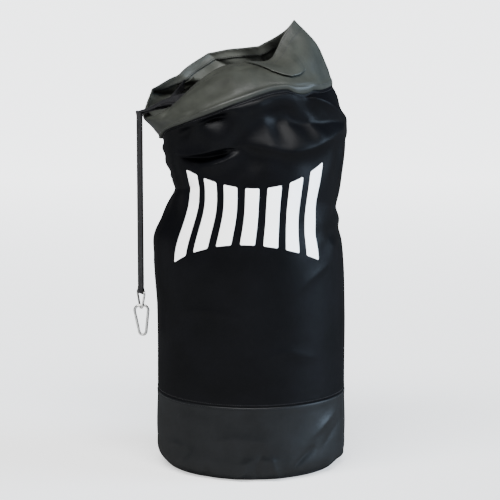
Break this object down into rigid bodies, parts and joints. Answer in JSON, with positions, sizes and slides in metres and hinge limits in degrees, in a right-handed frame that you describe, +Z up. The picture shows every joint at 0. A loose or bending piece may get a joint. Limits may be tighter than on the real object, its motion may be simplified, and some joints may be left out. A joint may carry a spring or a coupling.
{
  "type": "laundry bag",
  "caption": "Tall round fabric laundry bag with coated bottom band and collar, printed front, open leaning mouth and a webbing hanging strap with ring and snap hook.",
  "frame": {"origin": "centre of the base panel's underside, on the floor", "axes": "+Z up the bag, -Y towards the printed front, +X to the right seen from the front"},
  "size_m": [0.3939, 0.3528, 0.82],
  "materials": {
    "nylon": "plain woven nylon, slight sheen",
    "coated_fabric": "grained coated fabric, satin",
    "webbing": "flat woven webbing",
    "seam_tape": "folded binding tape",
    "print_film": "matt transfer film",
    "steel": "nickel plated wire"
  },
  "bodies": {
    "bag": {"base_panel": "coated_fabric", "base_seam_binding": "seam_tape", "bottom_band": "coated_fabric", "band_seam_tape": "seam_tape", "main_panel": "nylon", "back_seam_tape": "seam_tape", "front_print": "print_film", "collar_seam_tape": "seam_tape", "collar": "coated_fabric", "rim_hem": "coated_fabric", "front_strap_patch": "coated_fabric", "back_strap_patch": "coated_fabric", "front_strap_leg": "webbing", "back_strap_leg": "webbing"},
    "strap": {"hanging_strap": "webbing"},
    "ring": {"delta_ring": "steel"},
    "hook": {"hook_body": "steel", "gate_hinge_pin": "steel"},
    "gate": {"gate_sleeve": "steel", "gate_latch_pin": "steel", "gate_plunger": "steel", "gate_spring": "steel"}
  },
  "joints": [
    {"name": "strap_swing", "type": "hinge", "parent": "bag", "child": "strap", "pos_m": [-0.203, -0.028, 0.655], "axis": [-0.4983, 0.867, 0], "range_deg": [-1, 110]},
    {"name": "ring_swing", "type": "hinge", "parent": "strap", "child": "ring", "pos_m": [-0.203, -0.028, 0.324], "axis": [-0.4983, 0.867, 0], "range_deg": [-5, 80]},
    {"name": "hook_swing", "type": "hinge", "parent": "ring", "child": "hook", "pos_m": [-0.203, -0.028, 0.2977], "axis": [0.9986, 0, 0.0523], "range_deg": [-60, 60]},
    {"name": "gate_swing", "type": "hinge", "parent": "hook", "child": "gate", "pos_m": [-0.20804, -0.028, 0.25383], "axis": [0, 1, 0], "range_deg": [0, 28], "stiffness_Nm_per_rad": 0.05, "springref_deg": -11.46}
  ]
}
